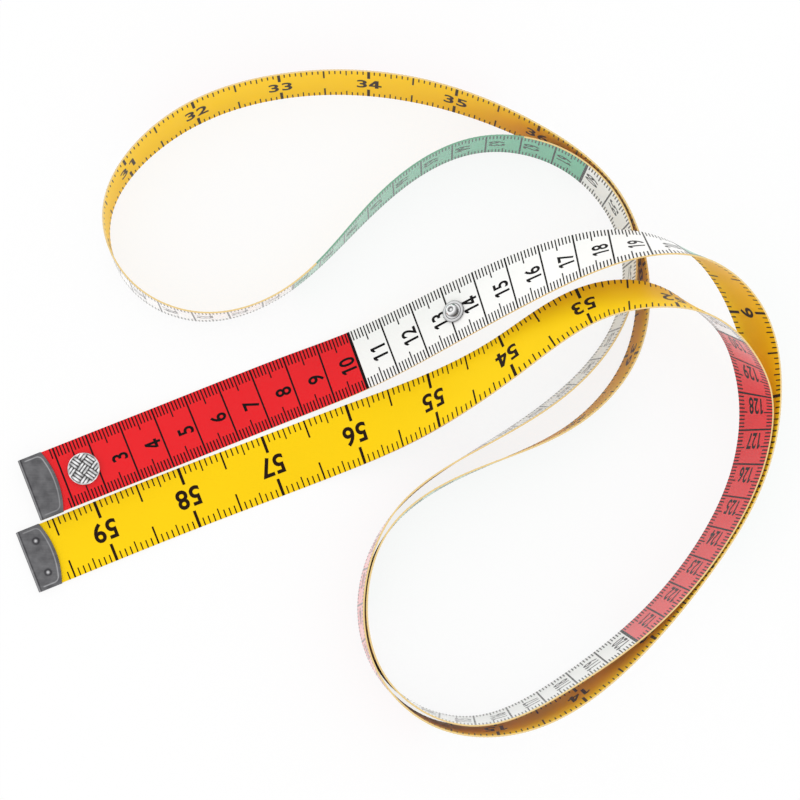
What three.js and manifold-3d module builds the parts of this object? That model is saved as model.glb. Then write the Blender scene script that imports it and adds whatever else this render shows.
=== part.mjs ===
// Tailor's tape measure lying in loose loops, with a folded metal clip on each end and a press stud.
// Millimetres, +Z up. The origin is on the table, under the middle of the loops.
// The tape is cut into runs: one for each printed colour field, and short ones where a free end curls.
import * as THREE from 'three';
import { mergeVertices } from 'three/addons/utils/BufferGeometryUtils.js';
import Module from 'manifold-3d';

const wasm = await Module();
wasm.setup();

// Tape
const TAPE_LENGTH = 1523; // over both clips
const TAPE_WIDTH = 18;
const TAPE_THICKNESS = 0.45;
const FIELD_LENGTH = 100; // one printed colour field
const FACET_LENGTH = 4; // longest facet along the tape
const RUN_GAP = 0.3; // cut between two runs
const SEAT_GAP = 0.2; // between a metal piece and what it sits on

// Free ends, which curl up in three bends
const BEND_MARGIN = 4; // from the snap cap's rim to the first bend
const BEND_PITCH = 26;

// End clips
const CLIP_SHEET = 0.35;
const CLIP_SIDE = 7; // length along the tape's edges
const CLIP_BULGE = 1.7; // how much longer it is at the middle
const CLIP_OVERHANG = 0.1; // past each edge of the tape

// Press stud: cap and socket near the zero end, stud one turn of the rolled tape away
const METAL_SHEET = 0.35;
const CAP_PLACE = 16.7; // from the zero end
const CAP_RADIUS = 4.6;
const CAP_HEIGHT = 1.7;
const CAP_SHOULDER = 0.75; // height of the cap's straight side
const CAP_LIP = 1; // width of the rim rolled in under the cap
const POST_RADIUS = 1.5;
const POST_BORE = 1.1;
const SOCKET_RADIUS = 4.4;
const SOCKET_HEIGHT = 2.7;
const SOCKET_MOUTH = 2.2;
const SPRING_WIRE = 0.5;
const SPRING_HALF_SPAN = 1.6; // from the middle to one leg
const SPRING_LEG = 3.8;
const STUD_PLACE = 132;
const STUD_FLANGE = 3.25;
const STUD_NECK = 1.35;
const STUD_BALL = 1.85;
const STUD_HEIGHT = 2.1;
const STUD_FILLET = 0.2; // from the flange up to the neck
const STUD_NECK_TOP = 0.85; // heights above the flange's underside
const STUD_BELT_LOW = 1.3;
const STUD_BELT_HIGH = 1.65;
const STUD_DIMPLE = 0.8; // radius at its rim
const STUD_DIMPLE_FLOOR = 0.55;
const STUD_POST_RADIUS = 0.75;
const STUD_POST_BORE = 0.45;
const ROUND_FACETS = 32;

// Route. Both ends lie side by side in one straight strand.
const ZERO_END = [-103.1, -24.85];
const ROUTE_MIDDLE = [0.8, -0.3]; // of the stations as typed, moved to the origin
const STRAND_HEADING = THREE.MathUtils.degToRad(22);
const STRAND_GAP = 0.5; // between the edges of the two ends
const CROSSING_GAP = 1.4; // between the strand and the standing tape it passes over
const PROP_REACH = 75; // how far from a free end the metal under it lifts the tape
const ROUTE_SAMPLES = 6000;
const TANGENT_REACH = 0.25; // each way from a point, to find the tape's direction there

// Stations have a roll in degrees and a rise. Roll 0 lies with the centimetre face up, 90 stands on the
// left edge and 180 or more lies with the inch face up. Rise 1 clears a standing tape.
// Zero strand: distance from the zero end, roll, rise.
const ZERO_STRAND = [[0, 0, 0], [41, 0, 0], [82, 4, 0.02]];
// Loops: x, y, roll, rise.
const LOOPS = [
  [-9.5, 12.5, 12, 0.1], [15.5, 24, 21, 0.48], [42, 35.5, 34, 0.9], [67, 41.8, 55, 1],
  [86.2, 38.8, 82, 0.7], [100.3, 24.4, 109, 0.22], [105.1, 3, 113, 0], [100.5, -21.3, 112, 0],
  [85.6, -47.6, 108.5, 0], [62.9, -73.9, 106, 0], [36, -90.5, 104, 0], [10.5, -89.8, 95, 0],
  [-5.2, -74.8, 88, 0], [-8.8, -55, 84, 0], [0.5, -31.3, 87, 0], [24, -13.5, 84.5, 0],
  [50.7, 4.8, 80, 0], [65, 25, 82, 0], [65.9, 48.5, 82.5, 0], [50.8, 68.3, 85, 0],
  [24.5, 73.8, 88, 0], [-4.4, 57, 89, 0], [-30.5, 31.5, 95, 0], [-54, 24.2, 91, 0],
  [-74.7, 33.7, 88, 0], [-81.6, 52, 90, 0], [-67.1, 76.2, 97, 0], [-33, 90.7, 98.5, 0],
  [5.5, 90, 99, 0], [40, 77.5, 95, 0], [62.8, 59.5, 91, 0], [70.6, 37, 95, 0],
  [67.5, 13, 99, 0], [51.2, -6.4, 97.5, 0], [22.1, -20, 93.5, 0], [-1.2, -36.6, 92.5, 0],
  [-7.8, -57, 94.5, 0], [-1.9, -78, 91, 0], [20.3, -89.7, 82, 0], [47.9, -79.3, 77, 0],
  [71.6, -61.4, 73, 0], [90.8, -38.1, 70.5, 0], [101.9, -11, 66.5, 0], [101.7, 4.5, 70, 0.12],
  [95.2, 16.6, 88, 0.5],
];
// Sixty strand: distance along the zero strand, tape pitches to its right, roll, rise.
const SIXTY_STRAND = [
  [193, 1.39, 100, 0.82], [183.5, 0.98, 118, 1], [168, 0.7, 131, 1], [137.8, 0.94, 137, 0.78],
  [114.5, 1.08, 154, 0.36], [86, 1.05, 177, 0.05], [62, 1.02, 181, 0], [40, 1, 182, 0],
  [10, 1, 182, 0], [-200, 1, 182, 0],
];

// Colours
const FIELD_COLOURS = [0xee2832, 0xfaf8f8, 0x7ac6a6, 0xfaf8f8]; // red, white, green, white, and again
const CLIP_COLOUR = 0x7d7f83;
const STEEL_COLOUR = 0xb9babd;

const finish = (color, roughness, metalness) => new THREE.MeshStandardMaterial({ color, roughness, metalness });
const tapeMaterials = FIELD_COLOURS.map((colour) => finish(colour, 0.55, 0));
const clipMaterial = finish(CLIP_COLOUR, 0.45, 1);
const steelMaterial = finish(STEEL_COLOUR, 0.28, 1);

// Route of the tape

// Place in the straight strand: a distance along it and a count of tape pitches to its right.
function inStrand(distance, pitches) {
  const along = [Math.cos(STRAND_HEADING), Math.sin(STRAND_HEADING)];
  const right = pitches * (TAPE_WIDTH + STRAND_GAP);
  return [
    ZERO_END[0] + distance * along[0] + right * along[1],
    ZERO_END[1] + distance * along[1] - right * along[0],
  ];
}

// Natural cubic spline through the stations, over the length of the chords between them.
function splineThrough(stations) {
  const count = stations.length;
  const places = [0];
  for (let i = 1; i < count; i++) {
    const [a, b] = [stations[i - 1], stations[i]];
    places.push(places[i - 1] + Math.hypot(b[0] - a[0], b[1] - a[1]));
  }
  const width = (i) => places[i + 1] - places[i];
  const bends = stations[0].map((_, axis) => {
    const slope = (i) => (stations[i + 1][axis] - stations[i][axis]) / width(i);
    const share = [0];
    const rest = [0];
    for (let i = 1; i < count - 1; i++) {
      const pivot = 2 * (width(i - 1) + width(i)) - width(i - 1) * share[i - 1];
      share.push(width(i) / pivot);
      rest.push((6 * (slope(i) - slope(i - 1)) - width(i - 1) * rest[i - 1]) / pivot);
    }
    const bend = new Array(count).fill(0);
    for (let i = count - 2; i > 0; i--) bend[i] = rest[i] - share[i] * bend[i + 1];
    return bend;
  });
  const at = (place) => {
    let i = places.findIndex((p) => p > place) - 1;
    if (i < 0) i = count - 2;
    const after = (place - places[i]) / width(i);
    const before = 1 - after;
    const sway = width(i) ** 2 / 6;
    return stations[0].map((_, axis) => before * stations[i][axis] + after * stations[i + 1][axis]
      + sway * ((before ** 3 - before) * bends[axis][i] + (after ** 3 - after) * bends[axis][i + 1]));
  };
  return { at, end: places[count - 1] };
}

const route = splineThrough([
  ...ZERO_STRAND.map(([distance, roll, rise]) => [...inStrand(distance, 0), roll, rise]),
  ...LOOPS,
  ...SIXTY_STRAND.map(([distance, pitches, roll, rise]) => [...inStrand(distance, pitches), roll, rise]),
]);

// Middle of the tape at a place on the route: its lowest corner is on the table or at its rise.
function tapeMiddle(place) {
  const [x, y, rollDegrees, rise] = route.at(place);
  const roll = THREE.MathUtils.degToRad(THREE.MathUtils.clamp(rollDegrees, 0, 180));
  const lift = Math.max(rise, 0) * (TAPE_WIDTH + CROSSING_GAP);
  const z = lift + (TAPE_WIDTH * Math.abs(Math.sin(roll)) + TAPE_THICKNESS * Math.abs(Math.cos(roll))) / 2;
  return { point: new THREE.Vector3(x - ROUTE_MIDDLE[0], y - ROUTE_MIDDLE[1], z), roll };
}

const travelled = [0];
const samplePlace = (i) => (i / ROUTE_SAMPLES) * route.end;
for (let i = 1; i <= ROUTE_SAMPLES; i++) {
  const [a, b] = [tapeMiddle(samplePlace(i - 1)).point, tapeMiddle(samplePlace(i)).point];
  travelled.push(travelled[i - 1] + a.distanceTo(b));
}

// The same at a length from the zero end, with each free end lifted by the metal under it.
function tapePoint(length) {
  const next = THREE.MathUtils.clamp(travelled.findIndex((t) => t > length), 1, ROUTE_SAMPLES);
  const part = (length - travelled[next - 1]) / (travelled[next] - travelled[next - 1]);
  const { point, roll } = tapeMiddle(samplePlace(next - 1 + part));
  const onSocket = 1 - THREE.MathUtils.smoothstep(length, CAP_PLACE, PROP_REACH);
  const onClip = 1 - THREE.MathUtils.smoothstep(TAPE_LENGTH - length, CLIP_SIDE + CLIP_BULGE, PROP_REACH);
  point.z += onSocket * (SEAT_GAP + SOCKET_HEIGHT) + onClip * (SEAT_GAP + CLIP_SHEET);
  return { point, roll };
}

// Frame of the tape at a length from the zero end: along it, across it from the left edge to the right,
// and face, which points out of the centimetre side.
function tapeFrame(length) {
  const { point, roll } = tapePoint(length);
  const along = tapePoint(length + TANGENT_REACH).point
    .sub(tapePoint(Math.max(length - TANGENT_REACH, 0)).point).normalize();
  const right = new THREE.Vector3(along.y, -along.x, 0).normalize();
  const over = new THREE.Vector3().crossVectors(right, along);
  const across = right.multiplyScalar(Math.cos(roll)).addScaledVector(over, Math.sin(roll));
  const face = new THREE.Vector3().crossVectors(across, along);
  return { point, along, across, face };
}

// Solids

function toSolid(geometry) {
  const bare = geometry.clone();
  bare.deleteAttribute('normal');
  bare.deleteAttribute('uv');
  const merged = mergeVertices(bare);
  return new wasm.Manifold(new wasm.Mesh({
    numProp: 3,
    vertProperties: new Float32Array(merged.attributes.position.array),
    triVerts: new Uint32Array(merged.index.array),
  }));
}

function toGeometry(solid) {
  const mesh = solid.getMesh();
  const geometry = new THREE.BufferGeometry();
  geometry.setAttribute('position', new THREE.BufferAttribute(new Float32Array(mesh.vertProperties), 3));
  geometry.setIndex(new THREE.BufferAttribute(new Uint32Array(mesh.triVerts), 1));
  geometry.computeVertexNormals();
  return geometry;
}

// One run of the tape: a rectangle carried along the route from one length to another.
function tapeRun(from, to) {
  const steps = Math.ceil((to - from) / FACET_LENGTH);
  const corners = [[-1, -1], [1, -1], [1, 1], [-1, 1]];
  const positions = [];
  const faces = [];
  for (let i = 0; i <= steps; i++) {
    const { point, across, face } = tapeFrame(from + ((to - from) * i) / steps);
    for (const [side, up] of corners) {
      const corner = point.clone()
        .addScaledVector(across, (side * TAPE_WIDTH) / 2)
        .addScaledVector(face, (up * TAPE_THICKNESS) / 2);
      positions.push(corner.x, corner.y, corner.z);
    }
  }
  const quad = (a, b, c, d) => faces.push(a, b, c, a, c, d);
  for (let i = 0; i < steps; i++) {
    const [near, far] = [4 * i, 4 * i + 4];
    quad(near, far, far + 1, near + 1);
    quad(near + 1, far + 1, far + 2, near + 2);
    quad(far + 2, far + 3, near + 3, near + 2); // split along the same diagonal as the face below it
    quad(near + 3, far + 3, far, near);
  }
  quad(0, 1, 2, 3);
  quad(4 * steps + 3, 4 * steps + 2, 4 * steps + 1, 4 * steps);
  const geometry = new THREE.BufferGeometry();
  geometry.setAttribute('position', new THREE.Float32BufferAttribute(positions, 3));
  geometry.setIndex(faces);
  geometry.computeVertexNormals();
  return geometry;
}

// A group standing on the tape at a length: x along the tape, z out of the centimetre face.
function onTape(length) {
  const { point, along, across, face } = tapeFrame(length);
  const group = new THREE.Group();
  group.applyMatrix4(new THREE.Matrix4().makeBasis(along, across.clone().negate(), face).setPosition(point));
  return group;
}

function punched(geometry, length, radius) {
  const punch = new THREE.CylinderGeometry(radius, radius, TAPE_WIDTH, ROUND_FACETS).rotateX(Math.PI / 2);
  const place = onTape(length);
  place.updateMatrixWorld();
  return toGeometry(toSolid(geometry).subtract(toSolid(punch.applyMatrix4(place.matrixWorld))));
}

// A revolved piece about local z, from its half section as [radius, height] pairs.
function turned(section) {
  const points = section.map(([radius, height]) => new THREE.Vector2(radius, height));
  return new THREE.LatheGeometry(points, ROUND_FACETS).rotateX(Math.PI / 2);
}

// Folded end clip: a sheet wrapped round the tape's end, with a curved inner edge. Local x runs from the
// fold inwards along the tape.
const clipInside = TAPE_THICKNESS / 2 + SEAT_GAP;
const clipOutside = clipInside + CLIP_SHEET;

function endClip() {
  const width = TAPE_WIDTH + 2 * CLIP_OVERHANG;
  const length = CLIP_SIDE + CLIP_BULGE;
  const fold = new THREE.Shape();
  fold.moveTo(length, clipOutside);
  fold.lineTo(clipOutside, clipOutside);
  fold.absarc(clipOutside, 0, clipOutside, Math.PI / 2, (3 * Math.PI) / 2, false);
  fold.lineTo(length, -clipOutside);
  fold.lineTo(length, -clipInside);
  fold.lineTo(clipOutside, -clipInside);
  fold.absarc(clipOutside, 0, clipInside, (3 * Math.PI) / 2, Math.PI / 2, true);
  fold.lineTo(length, clipInside);
  const wrapped = new THREE.ExtrudeGeometry(fold, { depth: width, bevelEnabled: false, curveSegments: 8 })
    .rotateX(Math.PI / 2).translate(0, width / 2, 0);

  const radius = (width ** 2 / 4 + CLIP_BULGE ** 2) / (2 * CLIP_BULGE);
  const half = Math.asin(width / 2 / radius);
  const outline = new THREE.Shape();
  outline.moveTo(-length, width);
  outline.lineTo(-length, -width);
  outline.lineTo(CLIP_SIDE, -width);
  outline.absarc(length - radius, 0, radius, -half, half, false);
  outline.lineTo(CLIP_SIDE, width);
  const height = 4 * clipOutside;
  const trim = new THREE.ExtrudeGeometry(outline, { depth: height, bevelEnabled: false, curveSegments: 12 })
    .translate(0, 0, -height / 2);
  return toGeometry(toSolid(wrapped).intersect(toSolid(trim)));
}

// Press stud. Heights are from the middle of the tape, up out of the centimetre face.
const faceHeight = TAPE_THICKNESS / 2 + SEAT_GAP;

function capShell() {
  const inside = CAP_RADIUS - METAL_SHEET;
  const dome = (radius, low, high) => [0, 1, 2, 3, 4].map((i) => {
    const turn = (i / 4) * (Math.PI / 2);
    return [radius * Math.sin(turn), low + (high - low) * Math.cos(turn)];
  });
  return turned([
    ...dome(inside, CAP_SHOULDER, CAP_HEIGHT - METAL_SHEET),
    [inside, METAL_SHEET],
    [CAP_RADIUS - CAP_LIP, METAL_SHEET],
    [CAP_RADIUS - CAP_LIP, 0],
    [inside, 0],
    [CAP_RADIUS, METAL_SHEET],
    ...dome(CAP_RADIUS, CAP_SHOULDER, CAP_HEIGHT).reverse(),
  ]).translate(0, 0, faceHeight);
}

// Eyelet behind the cap: a flange held by the cap's rolled rim, a tube through the tape and the socket's
// plate, and a lip flared under that plate.
function capPost() {
  const flange = METAL_SHEET + SEAT_GAP;
  const flangeRadius = CAP_RADIUS - METAL_SHEET - SEAT_GAP;
  const plate = -TAPE_THICKNESS - 2 * SEAT_GAP - METAL_SHEET;
  const flare = plate - SEAT_GAP;
  return turned([
    [POST_BORE, flange + METAL_SHEET],
    [POST_BORE, flare - METAL_SHEET],
    [POST_RADIUS + 2 * SEAT_GAP + METAL_SHEET, flare - METAL_SHEET],
    [POST_RADIUS + 2 * SEAT_GAP + METAL_SHEET, flare],
    [POST_RADIUS, flare],
    [POST_RADIUS, flange],
    [flangeRadius, flange],
    [flangeRadius, flange + METAL_SHEET],
    [POST_BORE, flange + METAL_SHEET],
  ]).translate(0, 0, faceHeight);
}

// Socket under the cap: a cup with its plate on the tape and a rolled mouth facing down.
function socketCup() {
  const hole = POST_RADIUS + SEAT_GAP;
  const inside = SOCKET_RADIUS - METAL_SHEET;
  const corner = METAL_SHEET / 2;
  return turned([
    [hole, 0],
    [hole, -METAL_SHEET],
    [inside, -METAL_SHEET],
    [inside, METAL_SHEET - SOCKET_HEIGHT],
    [SOCKET_MOUTH, METAL_SHEET - SOCKET_HEIGHT],
    [SOCKET_MOUTH, -SOCKET_HEIGHT],
    [SOCKET_RADIUS - corner, -SOCKET_HEIGHT],
    [SOCKET_RADIUS, corner - SOCKET_HEIGHT],
    [SOCKET_RADIUS, -corner],
    [SOCKET_RADIUS - corner, 0],
    [hole, 0],
  ]).translate(0, 0, -faceHeight);
}

// Hairpin spring lying on the socket's rolled mouth: two legs that grip the stud's neck, and the bend
// that joins them.
class HairpinCurve extends THREE.Curve {
  getPoint(t, target = new THREE.Vector3()) {
    const bend = Math.PI * SPRING_HALF_SPAN;
    const way = t * (2 * SPRING_LEG + bend);
    const middle = (SPRING_LEG - SPRING_HALF_SPAN) / 2;
    if (way < SPRING_LEG) return target.set(middle - SPRING_LEG + way, SPRING_HALF_SPAN, 0);
    if (way > SPRING_LEG + bend) return target.set(middle - (way - SPRING_LEG - bend), -SPRING_HALF_SPAN, 0);
    const turn = (way - SPRING_LEG) / SPRING_HALF_SPAN;
    return target.set(middle + SPRING_HALF_SPAN * Math.sin(turn), SPRING_HALF_SPAN * Math.cos(turn), 0);
  }
}

function socketSpring() {
  const wire = new THREE.Shape();
  wire.absarc(0, 0, SPRING_WIRE / 2, 0, 2 * Math.PI, false);
  const height = METAL_SHEET - SOCKET_HEIGHT + SEAT_GAP + SPRING_WIRE / 2 - faceHeight;
  return new THREE.ExtrudeGeometry(wire, { steps: 24, curveSegments: 8, extrudePath: new HairpinCurve() })
    .translate(0, 0, height);
}

// Stud: a flange on the centimetre face, a neck and a ball with a dimple in its top.
function studBall() {
  const bore = STUD_POST_RADIUS + SEAT_GAP;
  const crown = STUD_HEIGHT - METAL_SHEET;
  return turned([
    [0, crown - METAL_SHEET],
    [bore, crown - METAL_SHEET],
    [bore, 0],
    [STUD_FLANGE, 0],
    [STUD_FLANGE, METAL_SHEET],
    [STUD_NECK, METAL_SHEET + STUD_FILLET],
    [STUD_NECK, STUD_NECK_TOP],
    [STUD_BALL, STUD_BELT_LOW],
    [STUD_BALL, STUD_BELT_HIGH],
    [STUD_NECK, STUD_HEIGHT],
    [STUD_DIMPLE, STUD_HEIGHT],
    [STUD_DIMPLE_FLOOR, crown],
    [0, crown],
  ]).translate(0, 0, faceHeight);
}

// Eyelet behind the stud: a flange on the inch face and a tube up into the stud's bore.
function studPost() {
  const top = faceHeight + STUD_HEIGHT - 2 * METAL_SHEET - SEAT_GAP;
  return turned([
    [STUD_POST_BORE, top],
    [STUD_POST_BORE, -faceHeight - METAL_SHEET],
    [STUD_FLANGE, -faceHeight - METAL_SHEET],
    [STUD_FLANGE, -faceHeight],
    [STUD_POST_RADIUS, -faceHeight],
    [STUD_POST_RADIUS, top],
    [STUD_POST_BORE, top],
  ]);
}

// Assembly

const tapeMeasure = new THREE.Group();

function addPiece(parent, name, geometry, material) {
  const mesh = new THREE.Mesh(geometry, material);
  mesh.name = name;
  parent.add(mesh);
}

const firstBend = CAP_PLACE + CAP_RADIUS + BEND_MARGIN;
const zeroBends = [firstBend, firstBend + BEND_PITCH, firstBend + 2 * BEND_PITCH];
const sixtyBends = zeroBends.map((bend) => TAPE_LENGTH - bend).reverse();
const fieldEnds = [];
for (let end = FIELD_LENGTH; end < TAPE_LENGTH; end += FIELD_LENGTH) {
  if (end > zeroBends[2] + FACET_LENGTH && end < sixtyBends[0] - FACET_LENGTH) fieldEnds.push(end);
}
const cuts = [...zeroBends, ...fieldEnds, ...sixtyBends];

const zeroNames = ['tape_zero_tip', 'tape_zero_bend_outer', 'tape_zero_bend_inner'];
const sixtyNames = ['tape_sixty_bend_inner', 'tape_sixty_bend_outer', 'tape_sixty_tip'];
const fieldNames = [...Array(fieldEnds.length + 1).keys()].map((i) => `tape_field_${i + 1}`);
[...zeroNames, ...fieldNames, ...sixtyNames].forEach((name, i, names) => {
  const from = i === 0 ? clipOutside : cuts[i - 1] + RUN_GAP / 2;
  const to = i === names.length - 1 ? TAPE_LENGTH - clipOutside : cuts[i] - RUN_GAP / 2;
  let geometry = tapeRun(from, to);
  if (CAP_PLACE > from && CAP_PLACE < to) geometry = punched(geometry, CAP_PLACE, POST_RADIUS + SEAT_GAP);
  if (STUD_PLACE > from && STUD_PLACE < to) {
    geometry = punched(geometry, STUD_PLACE, STUD_POST_RADIUS + SEAT_GAP);
  }
  const field = Math.floor((from + to) / 2 / FIELD_LENGTH) % FIELD_COLOURS.length;
  addPiece(tapeMeasure, name, geometry, tapeMaterials[field]);
});

const zeroClip = onTape(0);
addPiece(zeroClip, 'zero_end_clip', endClip(), clipMaterial);
const sixtyClip = onTape(TAPE_LENGTH).rotateZ(Math.PI);
addPiece(sixtyClip, 'sixty_end_clip', endClip(), clipMaterial);

const snapCap = onTape(CAP_PLACE);
addPiece(snapCap, 'snap_cap_shell', capShell(), steelMaterial);
addPiece(snapCap, 'snap_cap_post', capPost(), steelMaterial);
addPiece(snapCap, 'snap_socket', socketCup(), steelMaterial);
addPiece(snapCap, 'snap_socket_spring', socketSpring(), steelMaterial);

const snapStud = onTape(STUD_PLACE);
addPiece(snapStud, 'snap_stud', studBall(), steelMaterial);
addPiece(snapStud, 'snap_stud_post', studPost(), steelMaterial);

tapeMeasure.add(zeroClip, sixtyClip, snapCap, snapStud);

export default tapeMeasure;
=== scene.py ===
import math
import bmesh
import bpy
import numpy as np
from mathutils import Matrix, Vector


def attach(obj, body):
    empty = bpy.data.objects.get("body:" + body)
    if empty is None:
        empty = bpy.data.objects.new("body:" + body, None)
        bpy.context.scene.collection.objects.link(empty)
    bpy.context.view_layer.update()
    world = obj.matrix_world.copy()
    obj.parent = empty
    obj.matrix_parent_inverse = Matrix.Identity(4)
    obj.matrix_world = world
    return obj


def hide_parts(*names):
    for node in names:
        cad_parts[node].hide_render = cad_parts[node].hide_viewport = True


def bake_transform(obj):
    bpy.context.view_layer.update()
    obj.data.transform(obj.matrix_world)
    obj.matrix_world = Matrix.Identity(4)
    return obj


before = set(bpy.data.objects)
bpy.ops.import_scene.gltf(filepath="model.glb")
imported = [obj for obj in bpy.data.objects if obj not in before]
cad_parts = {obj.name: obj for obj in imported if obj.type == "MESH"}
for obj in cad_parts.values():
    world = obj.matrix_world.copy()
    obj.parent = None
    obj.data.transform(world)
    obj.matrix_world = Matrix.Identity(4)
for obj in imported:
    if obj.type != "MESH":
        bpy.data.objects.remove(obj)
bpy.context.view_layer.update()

# Tailor's tape measure lying in loose loops: printed ribbon, folded end clips and a press stud.
mm = 0.001  # every length below is in millimetres
scene = bpy.context.scene


# Camera, floor and light

view = {
    "target": (1.2, 1.8, 0), "distance": 800, "elevation": 83,
    "across": 228.5,  # width of the picture at the target
    "sensor": 36, "near": 10,  # sensor width, and the nearest distance drawn
}


def addCamera():
    lift = math.radians(view["elevation"])
    back = Vector((0, -math.cos(lift), math.sin(lift)))
    data = bpy.data.cameras.new("photoCamera")
    data.sensor_width = view["sensor"]
    data.lens = data.sensor_width * view["distance"] / view["across"]
    data.clip_start = view["near"] * mm
    camera = bpy.data.objects.new("photoCamera", data)
    camera.location = (Vector(view["target"]) + back * view["distance"]) * mm
    camera.rotation_mode = "QUATERNION"
    camera.rotation_quaternion = (-back).to_track_quat("-Z", "Y")
    scene.collection.objects.link(camera)
    scene.camera = camera


addCamera()
scene.view_settings.view_transform = "Standard"
print("camera placed")


# Shader sums: a Wire is one output socket, and arithmetic on it adds Math nodes.

class Wire:
    def __init__(self, finish, socket):
        self.finish = finish
        self.socket = socket

    def math(self, operation, *values):
        return self.finish.add("ShaderNodeMath", {"operation": operation}, dict(enumerate(values)))

    def __add__(self, other):
        return self.math("ADD", self, other)

    def __radd__(self, other):
        return self.math("ADD", other, self)

    def __sub__(self, other):
        return self.math("SUBTRACT", self, other)

    def __rsub__(self, other):
        return self.math("SUBTRACT", other, self)

    def __mul__(self, other):
        return self.math("MULTIPLY", self, other)

    def __rmul__(self, other):
        return self.math("MULTIPLY", other, self)

    def __mod__(self, other):
        return self.math("FLOORED_MODULO", self, other)

    def floor(self):
        return self.math("FLOOR", self)

    def sine(self):
        return self.math("SINE", self)


class Finish:
    # Nodes of one material or world. add() makes any node: its type, its settings, then the values or wires
    # of its sockets.
    def __init__(self, owner):
        owner.use_nodes = True
        self.owner = owner
        self.tree = owner.node_tree
        self.tree.nodes.clear()

    def add(self, kind, settings=None, sockets=None, out=0):
        node = self.tree.nodes.new(kind)
        for key, value in (settings or {}).items():
            setattr(node, key, value)
        for key, value in (sockets or {}).items():
            if isinstance(value, Wire):
                self.tree.links.new(value.socket, node.inputs[key])
            else:
                node.inputs[key].default_value = value
        return Wire(self, node.outputs[out] if len(node.outputs) else None)

    def noise(self, vector, scale, detail):
        return self.add("ShaderNodeTexNoise", {}, {"Vector": vector, "Scale": scale, "Detail": detail})

    def mix(self, share, first, second):
        return self.add("ShaderNodeMix", {"data_type": "RGBA"}, {0: share, 6: first, 7: second}, out=2)

    def bump(self, height, strength, distance):
        return self.add("ShaderNodeBump", {}, {"Height": height, "Strength": strength, "Distance": distance})

    def seen(self):
        # 1 for what the camera sees directly, in a reflection or through something clear
        kinds = ("Camera", "Glossy", "Transmission")
        straight, glossy, clear = (self.add("ShaderNodeLightPath", out=f"Is {kind} Ray") for kind in kinds)
        return straight.math("MAXIMUM", straight, glossy.math("MAXIMUM", glossy, clear))

    def surface(self, **sockets):
        named = {key.replace("_", " "): value for key, value in sockets.items()}
        return self.close(self.add("ShaderNodeBsdfPrincipled", {}, named))

    def close(self, shader, output="ShaderNodeOutputMaterial"):
        self.add(output, {}, {"Surface": shader})
        return self.owner


def newMaterial(name):
    return Finish(bpy.data.materials.new(name))


def linear(red, green, blue):
    # a screen colour, 0 to 255, as the linear values that a shader takes
    level = np.array([red, green, blue]) / 255
    low = level <= 0.04045
    light = np.where(low, level / 12.92, ((level + 0.055) / 1.055) ** 2.4)
    return (*light.tolist(), 1.0)


stage = {
    "half": 3000, "floor": linear(246, 246, 246), "white": (1, 1, 1, 1),
    "under": 0.02,  # the floor lies this far under the object
    "glow": 0.86,  # share of plain white in what the camera sees of the floor
    "sky": 1.05,
    "bounces": 10,  # so that light finds its way into the gaps between passes
    "lamps": 4, "away": 1400, "height": 190,  # low softboxes all round
    "wide": 1400, "tall": 340, "watts": 1.7,
}


def addStage():
    half = stage["half"] * mm
    mesh = bpy.data.meshes.new("floor")
    corners = [(-half, -half, 0), (half, -half, 0), (half, half, 0), (-half, half, 0)]
    mesh.from_pydata(corners, [], [(0, 1, 2, 3)])
    floor = bpy.data.objects.new("floor", mesh)
    floor.location.z = -stage["under"] * mm
    scene.collection.objects.link(floor)

    pale = newMaterial("paleFloor")
    diffuse = pale.add("ShaderNodeBsdfDiffuse", {}, {"Color": stage["floor"]})
    white = pale.add("ShaderNodeEmission", {}, {"Color": stage["white"], "Strength": 1})
    mixed = pale.add("ShaderNodeMixShader", {}, {0: pale.seen() * stage["glow"], 1: diffuse, 2: white})
    mesh.materials.append(pale.close(mixed))

    sky = Finish(bpy.data.worlds.new("softSky"))
    level = stage["sky"] + sky.seen() * (1 - stage["sky"])
    glow = sky.add("ShaderNodeBackground", {}, {"Color": stage["white"], "Strength": level})
    scene.world = sky.close(glow, "ShaderNodeOutputWorld")

    scene.cycles.diffuse_bounces = stage["bounces"]
    for number in range(stage["lamps"]):
        data = bpy.data.lights.new(f"softbox{number}", "AREA")
        data.shape = "RECTANGLE"
        data.size, data.size_y = stage["wide"] * mm, stage["tall"] * mm
        data.energy = stage["watts"]
        turn = 2 * math.pi * (number + 0.5) / stage["lamps"]
        ahead, aside = stage["away"] * math.cos(turn), stage["away"] * math.sin(turn)
        place = Vector((ahead, aside, stage["height"])) * mm
        lamp = bpy.data.objects.new(data.name, data)
        lamp.location = place
        lamp.rotation_euler = (-place).to_track_quat("-Z", "Y").to_euler()
        scene.collection.objects.link(lamp)


addStage()
print("stage lit")


# Route of the tape: the stations that the solids follow

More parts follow.
